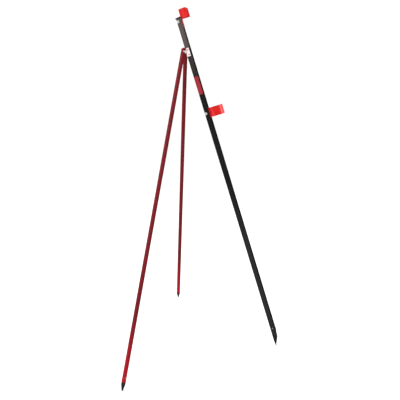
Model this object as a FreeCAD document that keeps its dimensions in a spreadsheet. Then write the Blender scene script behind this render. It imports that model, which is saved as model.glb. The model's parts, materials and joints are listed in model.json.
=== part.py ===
import FreeCAD, Part
import math
import os
import Sketcher
from FreeCAD import Placement, Rotation, Vector

# Three-legged field rest for a rod or staff. A rectangular black pole leans on two thin folding legs and
# carries two open cradles on its front face. Millimetres; +Z up; X runs from the legs' feet to the pole's
# point; Y is left. "Station" is the distance up the pole, from where its middle line meets the ground.

# ---------------------------------------------------------------- driving sizes
DRIVING = {
    # pole
    "pole_top": 1695,            # station of the tube's upper end
    "pole_depth": 22,            # front to back
    "pole_width": 35,            # side to side
    "pole_wall": 2,
    "lean": 17.43,               # degrees from upright
    "cut_front": 78,             # stations of the oblique cut at the foot, front and back
    "cut_back": 33,
    # spike
    "spike_shoulder": 58,        # where the spike leaves the line of the inner front wall
    "spike_knee": 44,
    "spike_knee_front": 7,       # how far in front of the middle line the knee stands
    "spike_depth_in": 130,       # station of the spike's hidden top end
    "spike_tip_width": 6,
    "spike_pin_radius": 2,
    "spike_pin_station": 105,
    # top cap
    "cap_rise_back": 3,
    "cap_rise_front": 6,
    "cap_overhang": 3.5,
    "cap_side_overhang": 1,
    "cap_plug_length": 52,
    # cradles, shared
    "cradle_radius": 21,
    "cradle_wall": 3.2,
    "screw_radius": 2,
    "screw_head_radius": 3.8,
    "screw_head_height": 1.5,
    "screw_recess": 0.2,         # how far a head sits below the surface that the rod lies on
    "screw_head_clearance": 0.3,
    "screw_length": 13,
    # upper cradle
    "upper_drop": 6,             # from the pole's upper end down to the cradle's lower end
    "upper_height": 44,
    "upper_reach": 50,           # front edge, from the pole's middle line
    "tongue_width": 24,
    "tongue_drop": 45,           # below the pole's upper end
    "upper_screw_low": 39,       # both below the pole's upper end
    "upper_screw_high": 26,
    "lash_hole_radius": 2.5,
    "lash_hole_ahead": 36,       # in front of the pole's middle line
    "lash_hole_up": 29,          # above the cradle's lower end
    # lower cradle
    "lower_bottom": 1211,
    "lower_height": 45,
    "lower_straight": 62,        # where the straight walls end and the flared lips begin
    "lip_length": 15,
    "lip_angle": 12,
    "pad_width": 30,
    "pad_thickness": 3,
    "lower_screw_edge": 9,       # from the cradle's ends to its screws
    "insert_margin": 6,          # how far the inner block runs past the cradle
    # cross bolts that hold the cradles' inner blocks
    "cross_bolt_radius": 3,
    "cross_bolt_back": 5.5,      # behind the pole's middle line
    "cross_bolt_drop": 15,       # from the pole's upper end down to the upper bolt
    "cross_bolt_clearance": 0.2,
    "cross_washer_radius": 7,
    "cross_washer_thickness": 1.6,
    "cross_head_radius": 5.77,
    "cross_head_height": 4,
    "cross_nut_height": 5,
    "bolt_end": 2,               # thread standing out of a nut
    # hinge plates
    "plate_thickness": 2.5,
    "plate_front": 7,            # front edge, from the pole's middle line
    "plate_bottom": 1514,
    "plate_height": 39,
    "plate_bolt_edge": 8,
    "plate_bolt_radius": 2.5,
    "plate_bolt_clearance": 0.1,
    "plate_head_radius": 4.75,
    "plate_head_height": 2.7,
    "plate_nut_radius": 4.62,
    "plate_nut_height": 4,
    "sleeve_radius": 4,
    # leg hinges
    "pivot_station": 1542,
    "pivot_back": 22,
    "pivot_out": 11.7,           # from the pole's side face
    "leg_turn": 42.78,           # degrees from straight back to the plane that a leg swings in
    "leg_spread": 31.18,         # degrees between the pole and an open leg
    "pivot_radius": 2.5,
    "pivot_clearance": 0.05,
    "ear_radius": 9,
    "slot_depth": 11,            # from the pivot to the floor of the leg's slot
    "stop_gap": 0.05,
    "heel_width": 6,
    "pivot_washer_radius": 5.5,
    "pivot_washer_thickness": 1,
    "pivot_washer_gap": 0.05,
    "pivot_head_radius": 4.62,
    "pivot_head_height": 3.5,
    "pivot_nut_height": 5,
    # legs
    "leg_radius": 10,
    "leg_wall": 1.5,
    "leg_flat_cut": 0.8,         # depth of the flats that the pivot bolt seats on
    "leg_head_radius": 11.5,
    "leg_head_rise": 7,          # from the pivot to the centre of the head's rounding
    "plug_length": 34,
    "foot_length": 34,           # visible, from the tube's end to the centre of the rounded point
    "foot_collar": 8,
    "foot_point_radius": 3.5,
    "foot_spigot": 32,
    "foot_pin_radius": 1.5,
    "foot_pin_height": 20,       # above the tube's lower end
    # label
    "label_bottom": 1328,
    "label_height": 87,
    "label_thickness": 0.4,
    "label_margin": 0.5,         # from the label's edges to the pole's
}

doc = FreeCAD.newDocument("RodRest")
sheet = doc.addObject("Spreadsheet::Sheet", "Sizes")


class Size:
    """A number, and the sheet expression that gives the same number."""

    def __init__(self, number, text):
        self.number = float(number)
        self.text = text

    def __add__(self, other):
        other = as_size(other)
        return Size(self.number + other.number, f"({self.text} + {other.text})")

    def __sub__(self, other):
        other = as_size(other)
        return Size(self.number - other.number, f"({self.text} - {other.text})")

    def __mul__(self, other):
        other = as_size(other)
        return Size(self.number * other.number, f"({self.text} * {other.text})")

    def __truediv__(self, other):
        other = as_size(other)
        return Size(self.number / other.number, f"({self.text} / {other.text})")

    def __radd__(self, other):
        return as_size(other) + self

    def __rsub__(self, other):
        return as_size(other) - self

    def __rmul__(self, other):
        return as_size(other) * self

    def __neg__(self):
        return Size(-self.number, f"(0 - {self.text})")


def as_size(value):
    return value if isinstance(value, Size) else Size(value, f"({float(value)})")


def sine(angle):
    return Size(math.sin(math.radians(angle.number)), f"sin({angle.text} * 1 deg)")


def cosine(angle):
    return Size(math.cos(math.radians(angle.number)), f"cos({angle.text} * 1 deg)")


def root(value):
    return Size(math.sqrt(value.number), f"sqrt({value.text})")


class Sheet:
    """The driving sizes, each read back from its cell by name."""

    def __init__(self, values):
        for row, (alias, number) in enumerate(values.items(), start=1):
            sheet.set(f"A{row}", alias)
            sheet.set(f"B{row}", str(number))
            sheet.setAlias(f"B{row}", alias)
        doc.recompute()
        for alias in values:
            setattr(self, alias, Size(sheet.get(alias), f"Sizes.{alias}"))


s = Sheet(DRIVING)

# ---------------------------------------------------------------- small helpers
ALONG = {
    "x": Rotation(Vector(0, 1, 0), 90),
    "y": Rotation(Vector(1, 0, 0), -90),
    "z": Rotation(),
}


def bind(thing, prop, value):
    value = as_size(value)
    setattr(thing, prop, value.number)
    thing.setExpression(prop, value.text)


def place(thing, at, rotation=Rotation()):
    at = [as_size(v) for v in at]
    thing.Placement = Placement(Vector(*[v.number for v in at]), rotation)
    for letter, v in zip("xyz", at):
        thing.setExpression(f"Placement.Base.{letter}", v.text)


def box(low, high):
    """A block between two corners."""
    thing = doc.addObject("Part::Box", "Block")
    for prop, a, b in zip(("Length", "Width", "Height"), low, high):
        bind(thing, prop, as_size(b) - as_size(a))
    place(thing, low)
    return thing


def rod(radius, length, at, along="z"):
    thing = doc.addObject("Part::Cylinder", "Round")
    bind(thing, "Radius", radius)
    bind(thing, "Height", length)
    place(thing, at, ALONG[along])
    return thing


def hexagon(radius, length, at, along="y"):
    thing = doc.addObject("Part::Prism", "Hexagon")
    thing.Polygon = 6
    bind(thing, "Circumradius", radius)
    bind(thing, "Height", length)
    place(thing, at, ALONG[along])
    return thing


def join(*things):
    thing = doc.addObject("Part::MultiFuse", "Join")
    thing.Shapes = list(things)
    return thing


def cut(base, *tools):
    for tool in tools:
        thing = doc.addObject("Part::Cut", "Cut")
        thing.Base = base
        thing.Tool = tool
        base = thing
    return base


def turned(thing, rotation, at):
    """Wraps a piece so that it can be turned as a whole, about its own origin, and set at a place."""
    wrap = doc.addObject("Part::Compound", "Turned")
    wrap.Links = [thing]
    place(wrap, at, rotation)
    return wrap


def origin_plane(body, role):
    return next(f for f in body.Origin.OriginFeatures if f.Role == role)


def sketch_in(body, role="XY_Plane"):
    sketch = body.newObject("Sketcher::SketchObject", "Outline")
    sketch.AttachmentSupport = [(origin_plane(body, role), "")]
    sketch.MapMode = "FlatFace"
    return sketch


def draw_polygon(sketch, points):
    """A closed outline whose corners are each held at a place given by the sheet."""
    first = sketch.GeometryCount
    corners = [(as_size(x), as_size(y)) for x, y in points]
    count = len(corners)
    for n in range(count):
        (x0, y0), (x1, y1) = corners[n], corners[(n + 1) % count]
        a = Vector(x0.number, y0.number, 0)
        b = Vector(x1.number, y1.number, 0)
        sketch.addGeometry(Part.LineSegment(a, b), False)
    for n in range(count):
        after = first + (n + 1) % count
        sketch.addConstraint(Sketcher.Constraint("Coincident", first + n, 2, after, 1))
    for n, (x, y) in enumerate(corners):
        for kind, v in (("DistanceX", x), ("DistanceY", y)):
            rule = Sketcher.Constraint(kind, -1, 1, first + n, 1, v.number)
            index = sketch.addConstraint(rule)
            sketch.setExpression(f"Constraints[{index}]", v.text)


def draw_circle(sketch, radius):
    circle = Part.Circle(Vector(0, 0, 0), Vector(0, 0, 1), radius.number)
    index = sketch.addGeometry(circle, False)
    sketch.addConstraint(Sketcher.Constraint("Coincident", index, 3, -1, 1))
    rule = sketch.addConstraint(Sketcher.Constraint("Radius", index, radius.number))
    sketch.setExpression(f"Constraints[{rule}]", radius.text)


def pad(body, sketch, length, both_ways=False):
    feature = body.newObject("PartDesign::Pad", "Pad")
    feature.Profile = sketch
    bind(feature, "Length", length)
    if both_ways:
        feature.Midplane = True
    body.Tip = feature
    return feature


def revolve(body, sketch):
    feature = body.newObject("PartDesign::Revolution", "Turned")
    feature.Profile = sketch
    feature.ReferenceAxis = (sketch, ["V_Axis"])
    feature.Angle = 360
    body.Tip = feature
    return feature


def rectangle(half_x, half_y):
    return [(-half_x, -half_y), (half_x, -half_y), (half_x, half_y), (-half_x, half_y)]


# ---------------------------------------------------------------- frames
half_depth = s.pole_depth / 2
half_width = s.pole_width / 2
inner_depth = half_depth - s.pole_wall
inner_width = half_width - s.pole_wall
lean_sine, lean_cosine = sine(s.lean), cosine(s.lean)
tip_station = half_depth * lean_sine / lean_cosine
upper_bottom = s.pole_top - s.upper_drop
upper_top = upper_bottom + s.upper_height
pivot_side = half_width + s.pivot_out
spread_sine, spread_cosine = sine(s.leg_spread), cosine(s.leg_spread)
turn_sine, turn_cosine = sine(s.leg_turn), cosine(s.leg_turn)

# An open leg's downward direction, first in the pole's frame and then in the world's.
leg_back = spread_sine * turn_cosine
leg_fall = spread_cosine * lean_cosine + leg_back * lean_sine
leg_run = leg_back * lean_cosine - spread_cosine * lean_sine
pivot_high = s.pivot_station * lean_cosine - s.pivot_back * lean_sine
pivot_behind = s.pivot_station * lean_sine + s.pivot_back * lean_cosine
leg_length = (pivot_high - s.foot_point_radius) / leg_fall
tube_length = leg_length - s.foot_length

# The model's origin is on the ground, midway between its foremost and rearmost points.
knee_ahead = s.spike_knee_front * lean_cosine - s.spike_knee * lean_sine
collar_up = s.foot_length - s.foot_collar
collar_back = s.leg_radius * root(1 - leg_run * leg_run)
rearmost = -pivot_behind - leg_run * (leg_length - collar_up) - collar_back
midway = (knee_ahead + rearmost) / 2

upright = Rotation(Vector(0, 1, 0), -s.lean.number)
pole_frame = Placement(Vector(-midway.number, 0, 0), upright)
SIDES = {"left": 1, "right": -1}


def ear_turn(side):
    """Turns X to the way that a leg swings out."""
    return Rotation(Vector(0, 0, 1), SIDES[side] * (180 - s.leg_turn.number))


def leg_frame(side):
    at = Vector(-s.pivot_back.number, SIDES[side] * pivot_side.number, s.pivot_station.number)
    open_turn = Rotation(Vector(0, 1, 0), -s.leg_spread.number)
    return pole_frame.multiply(Placement(at, ear_turn(side).multiply(open_turn)))


PIECES = {}


def keep(name, thing, frame):
    """Gives a finished piece its name and its place on the stand."""
    if thing.ExpressionEngine:
        holder = doc.addObject("Part::Compound", "Piece")
        holder.Links = [thing]
        thing = holder
    thing.Label = name
    thing.Placement = frame
    PIECES[name] = thing


# ---------------------------------------------------------------- pole
def tube_body(points_out, points_in, length):
    body = doc.addObject("PartDesign::Body", "Body")
    outline = sketch_in(body)
    draw_polygon(outline, points_out)
    draw_polygon(outline, points_in)
    pad(body, outline, length)
    return body


def wedge(points, half_thickness):
    """A prism whose outline lies in the pole's XZ plane, the same distance to each side of it."""
    body = doc.addObject("PartDesign::Body", "Body")
    outline = sketch_in(body, "XZ_Plane")
    draw_polygon(outline, points)
    pad(body, outline, half_thickness * 2, both_ways=True)
    return body


def cross_holes(radius, stations, ahead=0):
    """Round cutters right through the pole from side to side."""
    reach = half_width + 5
    return [rod(radius, reach * 2, (ahead, -reach, station), "y") for station in stations]


lower_middle = s.lower_bottom + s.lower_height / 2
cross_hole = s.cross_bolt_radius + s.cross_bolt_clearance
cross_stations = (s.pole_top - s.cross_bolt_drop, lower_middle)
plate_hole = s.plate_bolt_radius + s.plate_bolt_clearance
plate_stations = (
    s.plate_bottom + s.plate_bolt_edge,
    s.plate_bottom + s.plate_height - s.plate_bolt_edge,
)
lower_top = s.lower_bottom + s.lower_height
upper_screws = (s.pole_top - s.upper_screw_low, s.pole_top - s.upper_screw_high)
lower_screws = (s.lower_bottom + s.lower_screw_edge, lower_top - s.lower_screw_edge)
sunk = s.screw_head_height + s.screw_recess
screw_grip = s.cradle_wall - sunk
screw_depth = s.screw_length - screw_grip - s.pole_wall      # how far a screw reaches inside the tube


def front_holes(radius, stations, start, length):
    return [rod(radius, length, (start, 0, station), "x") for station in stations]


def main_pole():
    outer = rectangle(half_depth, half_width)
    inner = rectangle(inner_depth, inner_width)
    tube = tube_body(outer, inner, s.pole_top)
    beyond = half_depth + 5
    slope = (s.cut_front - s.cut_back) / s.pole_depth
    foot_cut = wedge(
        [
            (-beyond, s.cut_back - slope * 5),
            (-beyond, -20),
            (beyond, -20),
            (beyond, s.cut_front + slope * 5),
        ],
        half_width + 5,
    )
    tools = [foot_cut]
    tools += cross_holes(cross_hole, cross_stations, -s.cross_bolt_back)
    tools += cross_holes(plate_hole, plate_stations)
    tools += cross_holes(s.spike_pin_radius, [s.spike_pin_station])
    screw_way = s.pole_wall + 2
    tools += front_holes(s.screw_radius, upper_screws + lower_screws, inner_depth - 1, screw_way)
    keep("main_pole", cut(tube, *tools), pole_frame)


def pole_spike():
    outline = [
        (-inner_depth, s.spike_depth_in),
        (-inner_depth, s.cut_back),
        (-half_depth, s.cut_back),
        (-half_depth, tip_station),
        (s.spike_knee_front, s.spike_knee),
        (inner_depth, s.spike_shoulder),
        (inner_depth, s.spike_depth_in),
    ]
    blade = wedge(outline, inner_width)
    tools = cross_holes(s.spike_pin_radius, [s.spike_pin_station])
    for side in SIDES.values():
        body = doc.addObject("PartDesign::Body", "Body")
        face = sketch_in(body, "YZ_Plane")
        out = side * (inner_width + 5)
        tip = side * s.spike_tip_width / 2
        low = tip_station - 1
        corners = [(tip, low), (out, low), (out, s.spike_knee), (side * inner_width, s.spike_knee)]
        draw_polygon(face, corners)
        pad(body, face, s.pole_depth * 2, both_ways=True)
        tools.append(body)
    keep("pole_spike", cut(blade, *tools), pole_frame)
    pin = rod(s.spike_pin_radius, s.pole_width, (0, -half_width, s.spike_pin_station), "y")
    keep("spike_pin", pin, pole_frame)


def pole_top_cap():
    plug_low = s.pole_top - s.cap_plug_length
    plug = box((-inner_depth, -inner_width, plug_low), (inner_depth, inner_width, s.pole_top))
    rear = -half_depth - s.cap_overhang
    head = wedge(
        [
            (rear, s.pole_top),
            (half_depth, s.pole_top),
            (half_depth, s.pole_top + s.cap_rise_front),
            (rear, s.pole_top + s.cap_rise_back),
        ],
        half_width + s.cap_side_overhang,
    )
    tools = cross_holes(cross_hole, cross_stations[:1], -s.cross_bolt_back)
    tools += front_holes(s.screw_radius, upper_screws, inner_depth - screw_depth, screw_depth + 1)
    keep("pole_top_cap", cut(join(plug, head), *tools), pole_frame)


# ---------------------------------------------------------------- cradles
seat = half_depth + s.cradle_wall + s.cradle_radius      # the cradles' shared centre line
cradle_out = s.cradle_radius + s.cradle_wall


def screw_cutters(stations):
    """The screws' holes, and the recesses that their heads sit in."""
    recess = s.screw_head_radius + s.screw_head_clearance
    holes = front_holes(s.screw_radius, stations, half_depth - 1, screw_grip + 2)
    return holes + front_holes(recess, stations, half_depth + screw_grip, sunk + 1)


def channel(bottom, height, reach):
    """An open half-round channel, with straight walls up to its reach."""
    top = bottom + height
    bottom_half = doc.addObject("Part::Common", "Half")
    bottom_half.Base = rod(cradle_out, height, (seat, 0, bottom))
    bottom_half.Tool = box((seat - cradle_out - 1, -cradle_out - 1, bottom), (seat, cradle_out + 1, top))
    walls = box((seat, -cradle_out, bottom), (reach, cradle_out, top))
    hollow = join(
        rod(s.cradle_radius, height + 2, (seat, 0, bottom - 1)),
        box((seat, -s.cradle_radius, bottom - 1), (reach + 1, s.cradle_radius, top + 1)),
    )
    return join(bottom_half, walls), hollow


def upper_rest():
    shell, hollow = channel(upper_bottom, s.upper_height, s.upper_reach)
    half_tongue = s.tongue_width / 2
    tongue = box(
        (half_depth, -half_tongue, s.pole_top - s.tongue_drop),
        (half_depth + s.cradle_wall, half_tongue, upper_top),
    )
    lash_at = (s.lash_hole_ahead, -cradle_out - 1, upper_bottom + s.lash_hole_up)
    lash = rod(s.lash_hole_radius, cradle_out * 2 + 2, lash_at, "y")
    tools = [lash] + screw_cutters(upper_screws)
    keep("upper_rest", cut(join(shell, tongue), hollow, *tools), pole_frame)


def lower_rest():
    shell, hollow = channel(s.lower_bottom, s.lower_height, s.lower_straight)
    half_pad = s.pad_width / 2
    pad_front = half_depth + s.pad_thickness
    mount_pad = box((half_depth, -half_pad, s.lower_bottom), (pad_front, half_pad, lower_top))
    lips = []
    for side in SIDES.values():
        blank = box((0, -s.cradle_wall / 2, 0), (s.lip_length, s.cradle_wall / 2, s.lower_height))
        root_round = rod(s.cradle_wall / 2, s.lower_height, (0, 0, 0))
        turn = Rotation(Vector(0, 0, 1), side * s.lip_angle.number)
        middle = side * (s.cradle_radius + s.cradle_wall / 2)
        lips.append(turned(join(blank, root_round), turn, (s.lower_straight, middle, s.lower_bottom)))
    hollowed = cut(join(shell, mount_pad), hollow, *screw_cutters(lower_screws))
    keep("lower_rest", join(hollowed, *lips), pole_frame)


def lower_rest_insert():
    low = s.lower_bottom - s.insert_margin
    high = lower_top + s.insert_margin
    block = box((-inner_depth, -inner_width, low), (inner_depth, inner_width, high))
    tools = cross_holes(cross_hole, cross_stations[1:], -s.cross_bolt_back)
    tools += front_holes(s.screw_radius, lower_screws, inner_depth - screw_depth, screw_depth + 1)
    keep("lower_rest_insert", cut(block, *tools), pole_frame)


def screws(name, stations):
    """Screws driven from the front, their heads sunk in the cradle."""
    under_head = half_depth + screw_grip
    pieces = []
    for station in stations:
        shank = rod(s.screw_radius, s.screw_length, (under_head - s.screw_length, 0, station), "x")
        head = rod(s.screw_head_radius, s.screw_head_height, (under_head, 0, station), "x")
        pieces.append(join(shank, head))
    keep(name, join(*pieces), pole_frame)


def cross_bolts():
    """Through bolts with washers, heads on the left and nuts on the right."""
    behind = -s.cross_bolt_back
    face = half_width + s.cross_washer_thickness
    end = face + s.cross_nut_height + s.bolt_end
    bolts, nuts, washers = [], [], []
    for station in cross_stations:
        shank = rod(s.cross_bolt_radius, face + end, (behind, -end, station), "y")
        head = hexagon(s.cross_head_radius, s.cross_head_height, (behind, face, station))
        bolts.append(join(shank, head))
        nut = hexagon(s.cross_head_radius, s.cross_nut_height, (behind, -face - s.cross_nut_height, station))
        nuts.append(cut(nut, rod(s.cross_bolt_radius, end * 2, (behind, -end, station), "y")))
        for y in (half_width, -face):
            disc = rod(s.cross_washer_radius, s.cross_washer_thickness, (behind, y, station), "y")
            washers.append(cut(disc, rod(cross_hole, end * 2, (behind, -end, station), "y")))
    keep("rest_bolts", join(*bolts), pole_frame)
    keep("rest_nuts", join(*nuts), pole_frame)
    keep("rest_washers", join(*washers), pole_frame)


# ---------------------------------------------------------------- hinge plates
half_plate = s.plate_thickness / 2
ear_reach = (s.pivot_out - half_plate) / turn_sine      # from the bend to the pivot
bend_back = s.pivot_back - ear_reach * turn_cosine


def hinge_plate(side):
    """A bent plate: a flat cheek bolted to the pole's side, and an angled ear for the leg."""
    sign = SIDES[side]
    middle = sign * (half_width + half_plate)
    cheek = box(
        (-bend_back, middle - half_plate, s.plate_bottom),
        (s.plate_front, middle + half_plate, s.plate_bottom + s.plate_height),
    )
    ear = join(
        box((-ear_reach, -half_plate, -s.ear_radius), (0, half_plate, s.ear_radius)),
        rod(s.ear_radius, s.plate_thickness, (0, -half_plate, 0), "y"),
        rod(half_plate, s.ear_radius * 2, (-ear_reach, 0, -s.ear_radius)),
    )
    heel = box((0, -half_plate, s.stop_gap - s.slot_depth), (s.heel_width, half_plate, 0))
    heel_turned = turned(heel, Rotation(Vector(0, 1, 0), -s.leg_spread.number), (0, 0, 0))
    bored = cut(join(ear, heel_turned), rod(pivot_hole, 10, (0, -5, 0), "y"))
    at = (-s.pivot_back, sign * pivot_side, s.pivot_station)
    blank = join(cheek, turned(bored, ear_turn(side), at))
    keep(f"{side}_hinge_plate", cut(blank, *plate_cutters(sign)), pole_frame)


pivot_hole = s.pivot_radius + s.pivot_clearance


def plate_cutters(sign):
    start = half_width - 1 if sign > 0 else -half_width - s.plate_thickness - 1
    return [rod(plate_hole, s.plate_thickness + 2, (0, start, station), "y") for station in plate_stations]


def hinge_plate_fixings():
    """Button-head bolts through both plates, their nuts, and sleeves that keep the tube from crushing."""
    face = half_width + s.plate_thickness
    end = face + s.plate_nut_height + s.bolt_end
    bolts, nuts, sleeves = [], [], []
    for station in plate_stations:
        shank = rod(s.plate_bolt_radius, face + end, (0, -face, station), "y")
        head = rod(s.plate_head_radius, s.plate_head_height, (0, -face - s.plate_head_height, station), "y")
        socket = hexagon(s.plate_bolt_radius * 0.7, 2, (0, -face - s.plate_head_height - 0.5, station))
        bolts.append(cut(join(shank, head), socket))
        nut = hexagon(s.plate_nut_radius, s.plate_nut_height, (0, face, station))
        nuts.append(cut(nut, rod(s.plate_bolt_radius, end, (0, face - 1, station), "y")))
        sleeve = rod(s.sleeve_radius, inner_width * 2, (0, -inner_width, station), "y")
        sleeves.append(cut(sleeve, rod(plate_hole, inner_width * 2 + 2, (0, -inner_width - 1, station), "y")))
    keep("hinge_plate_bolts", join(*bolts), pole_frame)
    keep("hinge_plate_nuts", join(*nuts), pole_frame)
    keep("hinge_plate_sleeves", join(*sleeves), pole_frame)


def pole_label():
    reach = half_depth - s.label_margin
    low = (-reach, -half_width - s.label_thickness, s.label_bottom)
    high = (reach, -half_width, s.label_bottom + s.label_height)
    plate = box(low, high)
    keep("pole_label", plate, pole_frame)


# ---------------------------------------------------------------- legs, in a leg's own frame
# Its origin is the pivot, Z runs up the leg, and Y is the hinge's axis.
slot_half = half_plate + s.pivot_washer_thickness + s.pivot_washer_gap
leg_head = s.leg_head_rise + s.leg_head_radius           # from the pivot to the leg's upper end
leg_flat = s.leg_radius - s.leg_flat_cut


def head_cutters():
    """The slot for the ear, the pivot's hole, and what rounds the leg's upper end."""
    wide = s.leg_radius + 3
    top = leg_head + 3
    slot = box((-wide, -slot_half, -s.slot_depth), (wide, slot_half, top))
    hole = rod(s.pivot_radius, wide * 2, (0, -wide, 0), "y")
    block = box((-wide, -wide, s.leg_head_rise), (wide, wide, top))
    round_end = rod(s.leg_head_radius, wide * 2 + 2, (0, -wide - 1, s.leg_head_rise), "y")
    rounding = cut(block, round_end)
    return [slot, hole, rounding]


def leg_tube(side):
    body = doc.addObject("PartDesign::Body", "Body")
    ring = sketch_in(body)
    draw_circle(ring, s.leg_radius)
    draw_circle(ring, s.leg_radius - s.leg_wall)
    pad(body, ring, tube_length + leg_head)
    place(body, (0, 0, -tube_length))
    wide = s.leg_radius + 3
    flats = [
        box((-wide, leg_flat, -s.leg_radius), (wide, wide, leg_head + 1)),
        box((-wide, -wide, -s.leg_radius), (wide, -leg_flat, leg_head + 1)),
    ]
    pin_hole = rod(s.foot_pin_radius, wide * 2, (0, -wide, s.foot_pin_height - tube_length), "y")
    keep(f"{side}_leg_tube", cut(body, *head_cutters(), *flats, pin_hole), leg_frame(side))


def leg_plug(side):
    inner = s.leg_radius - s.leg_wall
    blank = rod(inner, s.plug_length + leg_head, (0, 0, -s.plug_length))
    keep(f"{side}_leg_plug", cut(blank, *head_cutters()), leg_frame(side))


def leg_pivot(side):
    """Hinge bolt and lock nut, and the washers that centre the ear in the slot."""
    sign = SIDES[side]
    end = leg_flat + s.pivot_nut_height + s.bolt_end
    length = leg_flat + end
    shank_start = -leg_flat if sign > 0 else -end
    head_start = -leg_flat - s.pivot_head_height if sign > 0 else leg_flat
    nut_start = leg_flat if sign > 0 else -leg_flat - s.pivot_nut_height
    shank = rod(s.pivot_radius, length, (0, shank_start, 0), "y")
    head = hexagon(s.pivot_head_radius, s.pivot_head_height, (0, head_start, 0))
    keep(f"{side}_pivot_bolt", join(shank, head), leg_frame(side))
    nut = hexagon(s.pivot_head_radius, s.pivot_nut_height, (0, nut_start, 0))
    through = rod(s.pivot_radius, end * 2, (0, -end, 0), "y")
    keep(f"{side}_pivot_nut", cut(nut, through), leg_frame(side))
    washers = []
    for y in (half_plate + s.pivot_washer_gap, -slot_half):
        disc = rod(s.pivot_washer_radius, s.pivot_washer_thickness, (0, y, 0), "y")
        washers.append(cut(disc, rod(s.pivot_radius, 10, (0, -5, 0), "y")))
    keep(f"{side}_pivot_washers", join(*washers), leg_frame(side))


def leg_foot(side):
    """A turned pointed foot with a spigot, pinned into the tube's lower end."""
    body = doc.addObject("PartDesign::Body", "Body")
    face = sketch_in(body, "XZ_Plane")
    spigot = s.leg_radius - s.leg_wall
    taper = s.foot_length - s.foot_collar
    # The cone is tangent to the round point, which is a small ball centred on the leg's line.
    ball = s.foot_point_radius
    cone_sine = (s.leg_radius - ball) / taper
    cone_cosine = root(1 - cone_sine * cone_sine)
    rim = (ball * cone_cosine, -s.foot_length - ball * cone_sine)
    draw_polygon(
        face,
        [
            (0, s.foot_spigot),
            (0, -s.foot_length),
            (rim[0], rim[1]),
            (s.leg_radius, -s.foot_collar),
            (s.leg_radius, 0),
            (spigot, 0),
            (spigot, s.foot_spigot),
        ],
    )
    revolve(body, face)
    place(body, (0, 0, -tube_length))
    point = doc.addObject("Part::Sphere", "Point")
    bind(point, "Radius", ball)
    place(point, (0, 0, -leg_length))
    height = s.foot_pin_height - tube_length
    hole = rod(s.foot_pin_radius, s.leg_radius * 2 + 2, (0, -s.leg_radius - 1, height), "y")
    keep(f"{side}_leg_foot", cut(join(body, point), hole), leg_frame(side))
    pin = rod(s.foot_pin_radius, s.leg_radius * 2, (0, -s.leg_radius, height), "y")
    keep(f"{side}_foot_pin", pin, leg_frame(side))


# ---------------------------------------------------------------- the whole stand
main_pole()
pole_spike()
pole_top_cap()
upper_rest()
screws("upper_rest_screws", upper_screws)
lower_rest()
lower_rest_insert()
screws("lower_rest_screws", lower_screws)
cross_bolts()
for side in SIDES:
    hinge_plate(side)
hinge_plate_fixings()
pole_label()
for side in SIDES:
    leg_tube(side)
    leg_plug(side)
    leg_pivot(side)
    leg_foot(side)

doc.recompute()
for thing in doc.Objects:
    if "Invalid" in thing.State or "Error" in thing.State:
        raise RuntimeError(f"{thing.Label} failed: {thing.State}")
os.makedirs("parts", exist_ok=True)
for name, thing in PIECES.items():
    if thing.Shape.isNull() or not thing.Shape.isValid():
        raise RuntimeError(f"{name} has no valid shape")
for name, thing in PIECES.items():
    thing.Shape.exportStep(f"parts/{name}.step")
    print(name, len(thing.Shape.Solids), "solids", round(thing.Shape.Volume), "mm3")

# What the record quotes: the pivots, the hinges' axes and the cradles' centres, in the model's own frame.
for side in SIDES:
    frame = leg_frame(side)
    axis = frame.Rotation.multVec(Vector(0, 1, 0))
    print(side, "pivot", [round(v, 3) for v in frame.Base], "axis", [round(v, 6) for v in axis])
    foot = frame.multVec(Vector(0, 0, -leg_length.number))
    print(side, "foot", [round(v, 2) for v in foot])
for name, station in (("upper", upper_bottom + s.upper_height / 2), ("lower", lower_middle)):
    centre = pole_frame.multVec(Vector(seat.number, 0, station.number))
    print(name, "cradle", [round(v, 3) for v in centre])
print("pole direction", [round(v, 6) for v in upright.multVec(Vector(0, 0, 1))])
print("origin shift", round(midway.number, 3), "leg length", round(leg_length.number, 2))
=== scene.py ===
# %% [markdown]
# # A folding rod rest
# A black rectangular pole leans on two thin folding legs and carries two open cradles for a staff.
# Everything is in metres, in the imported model's frame: +Z up, +X from the feet to the pole's point.

# %% Load the frame
import json
import math

import bmesh
import bpy
from mathutils import Matrix, Vector


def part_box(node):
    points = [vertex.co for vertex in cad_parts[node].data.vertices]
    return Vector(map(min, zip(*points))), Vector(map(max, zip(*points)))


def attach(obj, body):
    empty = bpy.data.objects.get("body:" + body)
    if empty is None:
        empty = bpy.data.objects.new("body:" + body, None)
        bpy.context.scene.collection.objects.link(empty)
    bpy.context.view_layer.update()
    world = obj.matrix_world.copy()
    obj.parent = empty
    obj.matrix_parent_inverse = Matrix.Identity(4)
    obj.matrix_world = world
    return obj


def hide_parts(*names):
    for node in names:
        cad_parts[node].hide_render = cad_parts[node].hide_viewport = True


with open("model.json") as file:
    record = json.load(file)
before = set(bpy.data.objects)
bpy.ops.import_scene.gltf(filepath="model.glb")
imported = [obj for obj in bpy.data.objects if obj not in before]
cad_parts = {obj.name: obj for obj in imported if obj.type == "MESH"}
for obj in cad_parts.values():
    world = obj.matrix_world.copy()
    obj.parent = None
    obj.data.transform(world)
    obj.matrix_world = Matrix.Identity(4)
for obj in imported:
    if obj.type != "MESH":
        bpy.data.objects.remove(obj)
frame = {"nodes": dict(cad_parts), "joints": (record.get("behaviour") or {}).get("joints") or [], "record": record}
nodes = frame["nodes"]
record = frame["record"]
mounts = {m["name"]: m for m in record["mounts"]}
joints = {j["name"]: j for j in frame["joints"]}
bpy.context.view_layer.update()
SIDES = {"left": 1, "right": -1}

# %% [markdown]
# ## Axes of the pole and the legs
# The pole's line is the cradles' axis. A leg's frame has its origin at the pivot, Y along the hinge
# and Z up the leg, so the leg's own pieces can be made upright and then set in place.

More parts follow.
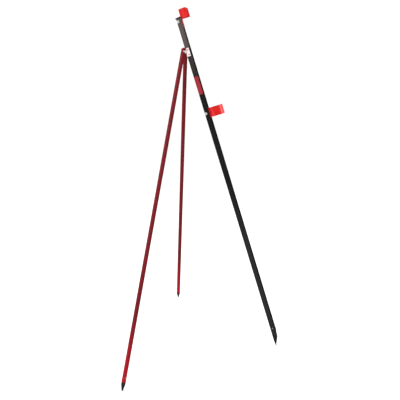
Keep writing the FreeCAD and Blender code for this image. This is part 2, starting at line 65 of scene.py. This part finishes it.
# %% Axes
POLE_UP = Vector(mounts["upper_cradle"]["axis"]).normalized()
POLE_LEFT = Vector((0, 1, 0))
POLE_FRONT = POLE_LEFT.cross(POLE_UP)


def centre(node):
    low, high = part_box(node)
    return (low + high) / 2


def axes(x, y, z, at):
    place = Matrix((x, y, z)).transposed().to_4x4()
    place.translation = at
    return place


def leg_axes(side):
    pivot = Vector(joints[f"{side}_leg_fold"]["pos_m"])
    hinge = Vector(joints[f"{side}_leg_fold"]["axis"]).normalized()
    down = (centre(f"{side}_foot_pin") - pivot).normalized()
    up = (-down - hinge * (-down).dot(hinge)).normalized()
    return axes(hinge.cross(up), hinge, up, pivot)


POLE = axes(POLE_FRONT, POLE_LEFT, POLE_UP, Vector(mounts["upper_cradle"]["pos_m"]))
LEGS = {side: leg_axes(side) for side in SIDES}


def corners(points):
    """Lowest and highest corner of the box round some points."""
    low = Vector([min(p[i] for p in points) for i in range(3)])
    high = Vector([max(p[i] for p in points) for i in range(3)])
    return low, high


def span(node, place):
    """Corners of a CAD node's box, measured along another frame's axes."""
    inverse = place.inverted()
    return corners([inverse @ v.co for v in nodes[node].data.vertices])


print("pole turned", round(math.degrees(math.acos(POLE_UP.z)), 2), "degrees from upright")

# %% [markdown]
# ## Camera
# It stands in front and to the right of the stand, at chest height, looking slightly down.

# %% Camera
tube_low, tube_high = span("main_pole", POLE)
on_axis = POLE @ Vector(((tube_low.x + tube_high.x) / 2, 0, 0))
POLE_FOOT = on_axis - POLE_UP * (on_axis.z / POLE_UP.z)       # where the tube's middle line meets the ground
CAMERA_FROM_FOOT = Vector((0.16303, -3.09944, 1.44959))
CAMERA_TURN = math.radians(10.42)
CAMERA_DOWN = math.radians(12.57)

lens = bpy.data.cameras.new("camera")
lens.sensor_width = 36
lens.lens = 58.5
camera = bpy.data.objects.new("camera", lens)
camera.location = POLE_FOOT + CAMERA_FROM_FOOT
camera.rotation_euler = (math.pi / 2 - CAMERA_DOWN, 0, CAMERA_TURN)
bpy.context.scene.collection.objects.link(camera)
bpy.context.scene.camera = camera
print("camera at", [round(v, 3) for v in camera.location])

# %% [markdown]
# ## Materials
# Every finish is made of nodes. Small helpers add a node, a noise, a ramp and the wear along edges.


# %% Node helpers
class Finish:
    """A material being built: add nodes, then link their sockets."""

    def __init__(self, name):
        self.material = bpy.data.materials.new(name)
        self.material.use_nodes = True
        self.tree = self.material.node_tree
        self.shader = self.tree.nodes["Principled BSDF"]

    def add(self, kind, **inputs):
        node = self.tree.nodes.new(kind)
        for socket, value in inputs.items():
            self.set(node.inputs[socket.replace("_", " ")], value)
        return node

    def set(self, socket, value):
        if isinstance(value, bpy.types.NodeSocket):
            self.tree.links.new(value, socket)
        else:
            socket.default_value = value

    def look(self, **inputs):
        for socket, value in inputs.items():
            self.set(self.shader.inputs[socket.replace("_", " ")], value)

    def place(self, along=None, stretch=(1, 1, 1)):
        """Object coordinates, turned so that Z runs along a direction, then scaled."""
        vector = self.add("ShaderNodeTexCoord").outputs["Object"]
        if along is not None:
            turn = self.add("ShaderNodeVectorRotate", Vector=vector)
            turn.rotation_type = "EULER_XYZ"
            upright = Vector(along).rotation_difference(Vector((0, 0, 1)))
            turn.inputs["Rotation"].default_value = upright.to_euler("XYZ")
            vector = turn.outputs["Vector"]
        scale = self.add("ShaderNodeVectorMath")
        scale.operation = "MULTIPLY"
        self.set(scale.inputs[0], vector)
        self.set(scale.inputs[1], stretch)
        return scale.outputs["Vector"]

    def noise(self, vector, scale, detail, roughness=0.55):
        node = self.add("ShaderNodeTexNoise", Vector=vector, Scale=scale, Detail=detail)
        node.inputs["Roughness"].default_value = roughness
        return node.outputs["Fac"]

    def ramp(self, fac, low, high, dark, light):
        """Maps a value from low..high to dark..light, numbers or colours."""
        if isinstance(dark, (int, float)):
            node = self.add("ShaderNodeMapRange", Value=fac)
            limits = {"From Min": low, "From Max": high, "To Min": dark, "To Max": light}
            for socket, value in limits.items():
                node.inputs[socket].default_value = value
            return node.outputs["Result"]
        node = self.add("ShaderNodeValToRGB", Fac=fac)
        node.color_ramp.elements[0].position = low
        node.color_ramp.elements[1].position = high
        node.color_ramp.elements[0].color = (*dark, 1)
        node.color_ramp.elements[1].color = (*light, 1)
        return node.outputs["Color"]

    def mix(self, fac, a, b):
        node = self.add("ShaderNodeMix")
        node.data_type = "RGBA"
        self.set(node.inputs["Factor"], fac)
        self.set(node.inputs["A"], a if isinstance(a, bpy.types.NodeSocket) else (*a, 1))
        self.set(node.inputs["B"], b if isinstance(b, bpy.types.NodeSocket) else (*b, 1))
        return node.outputs["Result"]

    def times(self, a, b):
        node = self.add("ShaderNodeMath")
        node.operation = "MULTIPLY"
        self.set(node.inputs[0], a)
        self.set(node.inputs[1], b)
        return node.outputs["Value"]

    def dull(self, sheen, gloss):
        """Reflects only through a thin coat, so that dark faces stay dark when seen at a low angle."""
        self.look(Specular_IOR_Level=0.0, Coat_Weight=sheen, Coat_Roughness=gloss)

    def dot(self, a, b):
        node = self.add("ShaderNodeVectorMath")
        node.operation = "DOT_PRODUCT"
        self.set(node.inputs[0], a)
        self.set(node.inputs[1], b)
        return node.outputs["Value"]

    def facing(self, way):
        """1 on faces that look one way, or straight back from it."""
        size = self.add("ShaderNodeMath")
        size.operation = "ABSOLUTE"
        self.set(size.inputs[0], self.dot(self.add("ShaderNodeTexCoord").outputs["Normal"], tuple(way)))
        return self.ramp(size.outputs["Value"], 0.5, 0.8, 0.0, 1.0)

    def edges(self, radius):
        """1 along convex edges, from how far a rounded normal leaves the true one."""
        soft = self.add("ShaderNodeBevel", Radius=radius)
        soft.samples = 6
        true = self.add("ShaderNodeNewGeometry").outputs["Normal"]
        return self.ramp(self.dot(soft.outputs["Normal"], true), 0.75, 0.98, 1.0, 0.0)

    def bump(self, height, distance, strength):
        node = self.add("ShaderNodeBump", Height=height, Distance=distance, Strength=strength)
        self.set(self.shader.inputs["Normal"], node.outputs["Normal"])


# %% [markdown]
# The pole's side faces are a paler grey, most of all above the hinge plates, with painted sheen near the foot;
# painted shade makes its front and back faces near black. The legs are brightest near their feet.
# The plastic and plated pieces each share one recipe with different colours.

# %% Finishes
def anodised_pole():
    """Drawn black tube: fine lines along it, cloudy dye, a paler, greyer stretch near the top, painted sheen on
    the side faces near the foot, and painted shade that makes the front and back faces near black.
    """
    f = Finish("black_anodised")
    lines = f.noise(f.place(POLE_UP, (2600, 2600, 9)), 1.0, 4.0)
    clouds = f.noise(f.place(POLE_UP, (1, 1, 0.35)), 26.0, 4.0)
    streaks = f.noise(f.place(POLE_UP, (420, 420, 5)), 1.0, 5.0, 0.6)
    scuffs = f.noise(f.place(POLE_UP, (90, 90, 30)), 1.0, 6.0, 0.7)
    height = f.add("ShaderNodeSeparateXYZ", Vector=f.place()).outputs["Z"]
    plate_low, plate_high = (corner.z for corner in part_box("right_hinge_plate"))
    dye = f.mix(clouds, (0.006, 0.005, 0.005), (0.012, 0.011, 0.011))
    # Painted sheen: near the foot the side faces are lightened to a grey that stands in for light falling on them.
    low_sheen = f.mix(clouds, (0.011, 0.011, 0.011), (0.02, 0.02, 0.02))
    # A paler grey for the side faces near and above the hinge plates.
    pale_grey = f.mix(clouds, (0.078, 0.06, 0.057), (0.102, 0.082, 0.077))
    pale_grey = f.mix(f.ramp(streaks, 0.4, 0.65, 0.0, 0.45), pale_grey, (0.05, 0.04, 0.038))
    low_half = f.ramp(height, plate_low * 0.35, plate_low * 0.6, 1.0, 0.0)
    below = f.mix(low_half, dye, low_sheen)
    near_plate = f.ramp(height, plate_low - 0.16, plate_low, 0.0, 0.3)
    above = f.ramp(height, plate_high - 0.012, plate_high, 0.0, 0.7)
    side = f.mix(above, f.mix(near_plate, below, pale_grey), pale_grey)
    # Painted shade: faces that look to the front or straight back are made near black.
    side = f.mix(f.facing(POLE_FRONT), side, (0.004, 0.0035, 0.0035))
    worn = f.times(f.edges(0.0007), f.ramp(scuffs, 0.55, 0.7, 0.0, 0.4))
    f.look(Base_Color=f.mix(worn, side, (0.13, 0.12, 0.115)), Roughness=f.ramp(lines, 0.3, 0.7, 0.4, 0.55))
    f.dull(0.015, 0.3)
    f.bump(lines, 0.00002, 0.6)
    return f.material


def moulded(name, dark, light, grain, sheen, gloss, wear_and_highlight_colour, lip_highlight=None):
    """Moulded plastic: slight mottling, a fine skin texture, rubbed edges and, on a cradle, a painted highlight at
    its front ends.
    """
    f = Finish(name)
    place = f.place()
    mottle = f.noise(place, 45.0, 4.0)
    skin = f.noise(place, grain, 3.0)
    rub = f.times(f.edges(0.0008), f.ramp(f.noise(place, 160.0, 5.0, 0.7), 0.5, 0.7, 0.0, 0.45))
    colour = f.ramp(mottle, 0.3, 0.7, dark, light)
    # Painted highlight: a cradle's front ends, ahead of its middle line, are lightened towards the wear and
    # highlight colour.
    if lip_highlight:
        line = POLE.translation.dot(POLE_FRONT)
        ahead = f.dot(place, tuple(POLE_FRONT))
        colour = f.mix(f.ramp(ahead, line + lip_highlight[0], line + lip_highlight[1], 0.0, 0.75), colour, wear_and_highlight_colour)
    f.look(Base_Color=f.mix(rub, colour, wear_and_highlight_colour))
    f.look(Roughness=f.ramp(mottle, 0.3, 0.7, 0.42, 0.55))
    f.dull(sheen, gloss)
    f.bump(skin, 0.00005, 0.5)
    return f.material


def plated(name, dark, light, roughness, along=None):
    """Zinc-plated or brushed sheet: fine scratches, faint spangle and a blotchy stain."""
    f = Finish(name)
    scratches = f.noise(f.place(along, (3200, 3200, 60)), 1.0, 3.0)
    spangle = f.add("ShaderNodeTexVoronoi", Vector=f.place(), Scale=520.0).outputs["Distance"]
    stain = f.noise(f.place(), 120.0, 5.0, 0.65)
    f.look(Base_Color=f.ramp(stain, 0.35, 0.65, dark, light), Metallic=0.85)
    f.look(Roughness=f.ramp(spangle, 0.0, 0.8, roughness - 0.05, roughness + 0.1))
    f.bump(scratches, 0.00002, 0.5)
    return f.material


def leg_finish(side):
    """Dark red anodising that grows brighter towards the foot."""
    f = Finish(f"{side}_leg_red")
    along = LEGS[side].col[2].xyz
    lines = f.noise(f.place(along, (3000, 3000, 8)), 1.0, 4.0)
    clouds = f.noise(f.place(along, (1, 1, 0.3)), 24.0, 4.0)
    height = f.add("ShaderNodeSeparateXYZ", Vector=f.place()).outputs["Z"]
    low = f.mix(clouds, (0.22, 0.003, 0.008), (0.31, 0.006, 0.012))
    high = f.mix(clouds, (0.095, 0.004, 0.007), (0.145, 0.007, 0.011))
    top = LEGS[side].translation.z
    dye = f.mix(f.ramp(height, top * 0.04, top * 0.2, 0.0, 1.0), low, high)
    worn = f.times(f.edges(0.0006), f.ramp(clouds, 0.5, 0.65, 0.0, 0.8))
    f.look(Base_Color=f.mix(worn, dye, (0.5, 0.3, 0.3)), Roughness=f.ramp(lines, 0.3, 0.7, 0.33, 0.46))
    f.dull(0.14, 0.25)
    f.bump(lines, 0.00002, 0.6)
    return f.material


ANODISED_BLACK = anodised_pole()
LEG_RED = {side: leg_finish(side) for side in SIDES}
CRADLE_RED = moulded(
    "cradle_red",
    dark=(0.36, 0.004, 0.004),
    light=(0.5, 0.009, 0.007),
    grain=2200.0,
    sheen=0.36,
    gloss=0.16,
    wear_and_highlight_colour=(0.75, 0.13, 0.12),
    # The pale band at the cradles' front ends is a painted highlight.
    lip_highlight=(0.031, 0.039),          # in front of the cradles' middle line: only the lower cradle reaches it
)
BLACK_PLASTIC = moulded(
    "black_plastic",
    dark=(0.007, 0.007, 0.007),
    light=(0.014, 0.013, 0.013),
    grain=2600.0,
    sheen=0.15,
    gloss=0.35,
    wear_and_highlight_colour=(0.08, 0.075, 0.075),
)
NYLON = moulded(
    "nylon",
    dark=(0.5, 0.48, 0.43),
    light=(0.62, 0.6, 0.55),
    grain=1800.0,
    sheen=0.3,
    gloss=0.3,
    wear_and_highlight_colour=(0.7, 0.68, 0.64),
)
LABEL_RED = moulded(
    "label_red",
    dark=(0.2, 0.012, 0.02),
    light=(0.26, 0.018, 0.026),
    grain=900.0,
    sheen=0.3,
    gloss=0.25,
    wear_and_highlight_colour=(0.4, 0.15, 0.15),
)
# Painted reflection: the hinge plates' pink tint stands in for the red parts reflected in the pale bright plate.
PLATE = plated(
    "bright_plate",
    dark=(0.78, 0.6, 0.62),
    light=(0.92, 0.75, 0.77),
    roughness=0.34,
    along=POLE_UP,
)
STEEL = plated(
    "zinc_steel",
    dark=(0.4, 0.38, 0.38),
    light=(0.6, 0.57, 0.57),
    roughness=0.34,
)
LOOKS = {
    "pole": ANODISED_BLACK,
    "black_fitting": BLACK_PLASTIC,
    "cradle": CRADLE_RED,
    "plate": PLATE,
    "steel": STEEL,
    "nylon": NYLON,
    "label": LABEL_RED,
}
print("finishes", len(bpy.data.materials))

# %% [markdown]
# ## Rounded copies of the CAD pieces
# Real edges aren't knife sharp. Each visible piece is rebuilt from its node's outline with its flat
# faces made whole, then every true edge is rounded by a size that suits how the piece is made.

# %% Rounding
SLOTS = {part["node"]: part["material_slot"] for part in record["subparts"]}
BODY_OF = {node: body for body, members in record["behaviour"]["bodies"].items() for node in members}
WELD = 1e-6                   # corners closer than this are one corner
FLAT = math.radians(1.5)      # faces that meet at less than this are one face
TRUE_EDGE = math.radians(32)  # and an edge sharper than this is rounded
BEVEL_STEPS = 2


def welded(node):
    """A CAD node's triangles with their shared corners joined."""
    bm = bmesh.new()
    bm.from_mesh(nodes[node].data)
    bmesh.ops.remove_doubles(bm, verts=bm.verts, dist=WELD)
    return bm


def evaluated(piece):
    """Applies a piece's modifiers to its mesh."""
    depsgraph = bpy.context.evaluated_depsgraph_get()
    mesh = bpy.data.meshes.new_from_object(piece.evaluated_get(depsgraph))
    piece.modifiers.clear()
    piece.data = mesh


def add_piece(name, mesh, body, material):
    piece = bpy.data.objects.new(name, mesh)
    bpy.context.scene.collection.objects.link(piece)
    piece.data.materials.clear()
    piece.data.materials.append(material)
    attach(piece, body)
    return piece


def smooth_by_angle(mesh):
    """Smooth shading that stops at true edges."""
    mesh.shade_smooth()
    bm = bmesh.new()
    bm.from_mesh(mesh)
    for edge in bm.edges:
        edge.smooth = len(edge.link_faces) == 2 and edge.calc_face_angle(0) < TRUE_EDGE
    bm.to_mesh(mesh)
    bm.free()


def rounded(node, radius, material=None):
    """A copy of a CAD node with whole faces and rounded edges, which is shown in its place."""
    bm = welded(node)
    bmesh.ops.dissolve_limit(bm, angle_limit=FLAT, verts=bm.verts, edges=bm.edges)
    mesh = bpy.data.meshes.new(f"{node}_shape")
    bm.to_mesh(mesh)
    bm.free()
    slot = SLOTS[node]
    piece = add_piece(f"{node}_look", mesh, BODY_OF[node], material or LOOKS[slot])
    bevel = piece.modifiers.new("edges", "BEVEL")
    bevel.width = radius
    bevel.segments = BEVEL_STEPS
    bevel.limit_method = "ANGLE"
    bevel.angle_limit = TRUE_EDGE
    bevel.use_clamp_overlap = True
    evaluated(piece)
    smooth_by_angle(piece.data)
    level = piece.modifiers.new("level_faces", "WEIGHTED_NORMAL")
    level.keep_sharp = True
    level.weight = 100
    evaluated(piece)
    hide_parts(node)
    return piece


for node, radius in {
    "main_pole": 0.0008,
    "pole_spike": 0.0012,
    "pole_top_cap": 0.001,
    "upper_rest": 0.0009,
    "lower_rest": 0.0009,
    "rest_washers": 0.0003,
    "left_hinge_plate": 0.0005,
    "right_hinge_plate": 0.0005,
    "hinge_plate_bolts": 0.0006,
    "pole_label": 0.00015,
}.items():
    piece = rounded(node, radius)
    print(piece.name, len(piece.data.polygons), "faces")
for side in SIDES:
    for part, radius in {"leg_foot": 0.0006, "pivot_washers": 0.0002, "leg_plug": 0.0003}.items():
        rounded(f"{side}_{part}", radius)
    rounded(f"{side}_leg_tube", 0.0003, material=LEG_RED[side])
for node in ("spike_pin", "hinge_plate_sleeves", "lower_rest_insert", "left_foot_pin", "right_foot_pin"):
    nodes[node].data.materials.clear()
    nodes[node].data.materials.append(LOOKS[SLOTS[node]])

# %% [markdown]
# ## Bolts and nuts
# The heads get chamfered corners, and the free ends get a real thread. A thread is one ridge wound
# round a core, a little thinner than the CAD bolt so that it stays inside its nut.


# %% Threads
ROUND_STEPS = 36
THREAD_STEPS = 18
ROWS_PER_PITCH = 8
TIP = 0.909                   # share of the thread's radius left at its free end
TAPER = 0.14                  # and how much it grows in one pitch
HEX_FLAT = math.cos(math.pi / 6)      # a hexagon's flat, as a share of its corner's reach
END_FACE = 0.97               # a hexagon's turned end face, as a share of its flat
MOUTH = 1.12                  # how much a nut's bore opens at its ends
CHAMFER = 0.0004
RIM = 0.0003                  # bevel round a socket head


def ring(bm, reach, z, steps=ROUND_STEPS):
    """Points about Z; the reach and the height are numbers, or functions of the angle."""
    points = []
    for n in range(steps):
        angle = math.tau * n / steps
        r = reach(angle) if callable(reach) else reach
        up = z(angle) if callable(z) else z
        points.append(bm.verts.new((r * math.cos(angle), r * math.sin(angle), up)))
    return points


def skin(bm, rings, capped=False):
    """Faces from each ring to the next, and over both ends if capped."""
    for a, b in zip(rings, rings[1:]):
        for n in range(len(a)):
            after = (n + 1) % len(a)
            bm.faces.new((a[n], a[after], b[after], b[n]))
    if capped:
        bm.faces.new(rings[0][::-1])
        bm.faces.new(rings[-1])


def helix_thread(bm, radius, pitch, start, length):
    """A ridged rod along Z: its radius rises and falls once a pitch, and fades at the free end."""
    rows = int(length / pitch * ROWS_PER_PITCH)
    rings = []
    for row in range(rows + 1):
        along = length * row / rows
        fade = min(1.0, TIP + TAPER * (length - along) / pitch)

        def reach(angle):
            phase = along / pitch - angle / math.tau
            return (radius - abs((phase % 1.0) * 2 - 1) * pitch * 0.5) * fade

        rings.append(ring(bm, reach, start + along, THREAD_STEPS))
    skin(bm, rings, capped=True)


def hex_reach(corner):
    """How far a hexagon's sides are from its middle, by angle; its corners are the farthest."""
    flat = corner * HEX_FLAT
    return lambda angle: flat / math.cos((angle + math.pi / 6) % (math.pi / 3) - math.pi / 6)


def hex_block(bm, corner, low, high, bore=0.0):
    """A hexagon head or nut along Z with its corners turned off at the ends."""
    flat = corner * HEX_FLAT
    side = hex_reach(corner)
    rings = [
        ring(bm, flat * END_FACE, low),
        ring(bm, side, lambda angle: low + CHAMFER + (side(angle) - flat) * 0.5),
        ring(bm, side, lambda angle: high - CHAMFER - (side(angle) - flat) * 0.5),
        ring(bm, flat * END_FACE, high),
    ]
    if not bore:
        skin(bm, rings, capped=True)
        return
    inside = [(bore * MOUTH, high), (bore, high - CHAMFER), (bore, low + CHAMFER), (bore * MOUTH, low)]
    skin(bm, rings + [ring(bm, r, z) for r, z in inside] + rings[:1])


def socket_head(bm, radius, height, socket, depth):
    """A low round head below zero, with a hexagonal socket in its outer end."""
    side = hex_reach(socket)
    rings = [
        ring(bm, side, depth - height),
        ring(bm, side, -height),
        ring(bm, radius - RIM, -height),
        ring(bm, radius, RIM - height),
        ring(bm, radius, 0),
    ]
    skin(bm, rings, capped=True)


def finished_mesh(bm, name, place=Matrix.Identity(4)):
    bmesh.ops.recalc_face_normals(bm, faces=bm.faces)
    mesh = bpy.data.meshes.new(name)
    bm.transform(place)
    bm.to_mesh(mesh)
    bm.free()
    smooth_by_angle(mesh)
    return mesh


def solids_of(node):
    """The boxes of a node's separate solids, along the pole's axes, lowest first."""
    bm = welded(node)
    inverse = POLE.inverted()
    left = set(bm.verts)
    found = []
    while left:
        todo = [left.pop()]
        points = []
        while todo:
            vert = todo.pop()
            points.append(inverse @ vert.co)
            for edge in vert.link_edges:
                other = edge.other_vert(vert)
                if other in left:
                    left.remove(other)
                    todo.append(other)
        found.append(corners(points))
    bm.free()
    return sorted(found, key=lambda pair: pair[0].z)


# %% [markdown]
# The cross bolts hold the cap and the lower cradle's block. Their places come from the CAD solids.

# %% Cross bolts
Y_UP = Matrix.Rotation(-math.pi / 2, 4, "X")          # turns a piece's Z to +Y
Y_DOWN = Matrix.Rotation(math.pi / 2, 4, "X")         # turns a piece's Z to -Y


def joined_piece(name, meshes, body, slot, material, *replaced):
    """One piece made of several meshes, shown in place of CAD nodes."""
    bm = bmesh.new()
    for mesh in meshes:
        bm.from_mesh(mesh)
    whole = bpy.data.meshes.new(name)
    bm.to_mesh(whole)
    bm.free()
    smooth_by_angle(whole)
    piece = add_piece(name, whole, body, material)
    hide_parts(*replaced)
    return piece


def threaded_bolt(radius, pitch, head, head_height, grip, length):
    """Along Z: the head below zero, a plain shank up to its grip, and thread beyond it."""
    bm = bmesh.new()
    hex_block(bm, head, -head_height, 0)
    skin(bm, [ring(bm, radius, -CHAMFER), ring(bm, radius, grip)], capped=True)
    helix_thread(bm, radius, pitch, grip, length - grip)
    return bm


def hex_nut(bore, corner, height):
    bm = bmesh.new()
    hex_block(bm, corner, 0, height, bore)
    return bm


CROSS_RADIUS = 0.003
CROSS_PITCH = 0.001
CROSS_HEX = 0.00577           # from the middle to a corner
CROSS_HEAD = 0.004
bolt_meshes = []
nut_meshes = []
for bolt, nut in zip(solids_of("rest_bolts"), solids_of("rest_nuts")):
    middle = (bolt[0] + bolt[1]) / 2
    under_head = bolt[1].y - CROSS_HEAD
    length = under_head - bolt[0].y
    grip = under_head - nut[1].y
    place = POLE @ Matrix.Translation((middle.x, under_head, middle.z)) @ Y_DOWN
    bm = threaded_bolt(CROSS_RADIUS, CROSS_PITCH, CROSS_HEX, CROSS_HEAD, grip, length)
    bolt_meshes.append(finished_mesh(bm, "cross_bolt", place))
    place = POLE @ Matrix.Translation((middle.x, nut[1].y, middle.z)) @ Y_DOWN
    bm = hex_nut(CROSS_RADIUS, CROSS_HEX, nut[1].y - nut[0].y)
    nut_meshes.append(finished_mesh(bm, "nut", place))
joined_piece("rest_bolts_look", bolt_meshes, "pole", "steel", STEEL, "rest_bolts")
joined_piece("rest_nuts_look", nut_meshes, "pole", "steel", STEEL, "rest_nuts")

# %% [markdown]
# Each cradle has two small socket screws, with their heads sunk below the surface that a rod lies on.

# %% Cradle screws
X_BACK = Matrix.Rotation(-math.pi / 2, 4, "Y")        # turns a piece's Z to the pole's rear
SCREW_HEAD = 0.0015
SCREW_RADIUS = 0.002
SCREW_PITCH = 0.0007
SCREW_SOCKET = 0.0019         # from the middle to a corner
SOCKET_DEPTH = 0.001
OVERLAP = 0.0002              # how far the thread starts inside the head
for node in ("upper_rest_screws", "lower_rest_screws"):
    screw_meshes = []
    for low, high in solids_of(node):
        middle = (low + high) / 2
        under_head = high.x - SCREW_HEAD
        bm = bmesh.new()
        socket_head(bm, (high.z - low.z) / 2, SCREW_HEAD, SCREW_SOCKET, SOCKET_DEPTH)
        helix_thread(bm, SCREW_RADIUS, SCREW_PITCH, -OVERLAP, under_head - low.x + OVERLAP)
        place = POLE @ Matrix.Translation((under_head, middle.y, middle.z)) @ X_BACK
        screw_meshes.append(finished_mesh(bm, "screw", place))
    joined_piece(f"{node}_look", screw_meshes, "pole", "steel", STEEL, node)

# %% [markdown]
# Each leg turns on its own bolt, with a lock nut whose nylon collar is shown as part of the nut.

# %% Leg pivots
PIVOT_RADIUS = 0.0025
PIVOT_PITCH = 0.0008
PIVOT_HEX = 0.00462           # from the middle to a corner
PIVOT_HEAD = 0.0035
NUT_BODY = 0.78               # the hexagonal share of a lock nut's height
COLLAR = [(0.84, 0.76), (0.84, 0.94), (0.78, 1.0), (0.55, 1.0), (0.55, 0.76)]      # radius and height shares
for side, sign in SIDES.items():
    place = LEGS[side]
    low, high = span(f"{side}_pivot_bolt", place)
    nut_low, nut_high = span(f"{side}_pivot_nut", place)
    if sign > 0:
        away = Y_UP
        under_head = low.y + PIVOT_HEAD
        length = high.y - under_head
        nut_start = nut_low.y
    else:
        away = Y_DOWN
        under_head = high.y - PIVOT_HEAD
        length = under_head - low.y
        nut_start = nut_high.y
    grip = abs(nut_start - under_head)
    bm = threaded_bolt(PIVOT_RADIUS, PIVOT_PITCH, PIVOT_HEX, PIVOT_HEAD, grip, length)
    bolt = finished_mesh(bm, "pivot_bolt", place @ Matrix.Translation((0, under_head, 0)) @ away)
    nut_height = nut_high.y - nut_low.y
    bm = hex_nut(PIVOT_RADIUS, PIVOT_HEX, nut_height * NUT_BODY)
    rings = [ring(bm, PIVOT_HEX * r, nut_height * z) for r, z in COLLAR]
    skin(bm, rings + rings[:1])
    nut = finished_mesh(bm, "pivot_nut", place @ Matrix.Translation((0, nut_start, 0)) @ away)
    joined_piece(f"{side}_pivot_bolt_look", [bolt], f"{side}_leg", "steel", STEEL, f"{side}_pivot_bolt")
    joined_piece(f"{side}_pivot_nut_look", [nut], f"{side}_leg", "steel", STEEL, f"{side}_pivot_nut")

# %% [markdown]
# The nuts of the bolts that run through both hinge plates are on the left.

# %% Hinge plate nuts
plate_nuts = []
for low, high in solids_of("hinge_plate_nuts"):
    middle = (low + high) / 2
    at = POLE @ Matrix.Translation((middle.x, low.y, middle.z)) @ Y_UP
    plate_nuts.append(finished_mesh(hex_nut(PIVOT_RADIUS, PIVOT_HEX, high.y - low.y), "plate_nut", at))
joined_piece("hinge_plate_nuts_look", plate_nuts, "pole", "steel", STEEL, "hinge_plate_nuts")
print("bolts and nuts", len(bolt_meshes) + len(nut_meshes) + len(plate_nuts) + 2 * len(SIDES))

# %% [markdown]
# ## Floor and light
# A plain pale floor that curves up behind, a broad soft key from the upper left, and fill all round.

# %% Stage
HALF_WIDTH = 16.0
NEAR, FAR, TOP = -9.0, 9.0, 9.0       # front edge of the floor, back wall, and how high the wall goes
CURVE = 3.0                           # radius of the sweep from the floor into the wall
CURVE_STEPS = 16
profile = [(NEAR, 0.0), (FAR - CURVE, 0.0)]
for n in range(1, CURVE_STEPS + 1):
    angle = math.pi / 2 * n / CURVE_STEPS
    profile.append((FAR - CURVE + CURVE * math.sin(angle), CURVE - CURVE * math.cos(angle)))
profile.append((FAR, TOP))
floor_bm = bmesh.new()
rows = [[floor_bm.verts.new((x, y, z)) for x in (-HALF_WIDTH, HALF_WIDTH)] for y, z in profile]
for a, b in zip(rows, rows[1:]):
    floor_bm.faces.new((a[0], a[1], b[1], b[0]))
floor_mesh = bpy.data.meshes.new("floor")
floor_bm.to_mesh(floor_mesh)
floor_bm.free()
floor_mesh.shade_smooth()
floor = bpy.data.objects.new("floor", floor_mesh)
bpy.context.scene.collection.objects.link(floor)
paper = Finish("floor_paper")
paper_grain = paper.noise(paper.place(), 60.0, 2.0)
paper_colour = paper.ramp(paper_grain, 0.3, 0.7, (0.97, 0.97, 0.97), (0.985, 0.985, 0.985))
paper.look(Base_Color=paper_colour, Roughness=0.9)
floor.data.materials.append(paper.material)


def area_light(name, size, energy, at, aim):
    data = bpy.data.lights.new(name, "AREA")
    data.shape = "RECTANGLE"
    data.size, data.size_y = size
    data.energy = energy
    lamp = bpy.data.objects.new(name, data)
    lamp.location = at
    lamp.rotation_euler = (Vector(aim) - Vector(at)).to_track_quat("-Z", "Y").to_euler()
    bpy.context.scene.collection.objects.link(lamp)


area_light("key", size=(2.6, 2.6), energy=165, at=(-2.6, -3.2, 4.2), aim=(0, 0, 0.9))
area_light("fill", size=(3.0, 3.0), energy=40, at=(3.4, -3.0, 2.6), aim=(0, 0, 0.9))
area_light("rim", size=(2.4, 2.4), energy=50, at=(0.6, 3.4, 3.6), aim=(0, 0, 0.9))
area_light("strip", size=(0.9, 2.0), energy=20, at=(-2.0, -2.9, 1.3), aim=(0, 0, 1.0))
world = bpy.data.worlds.new("studio")
world.use_nodes = True
surroundings = world.node_tree.nodes["Background"]
surroundings.inputs["Color"].default_value = (1, 1, 1, 1)
surroundings.inputs["Strength"].default_value = 0.94
bpy.context.scene.world = world
bpy.context.scene.view_settings.view_transform = "Standard"
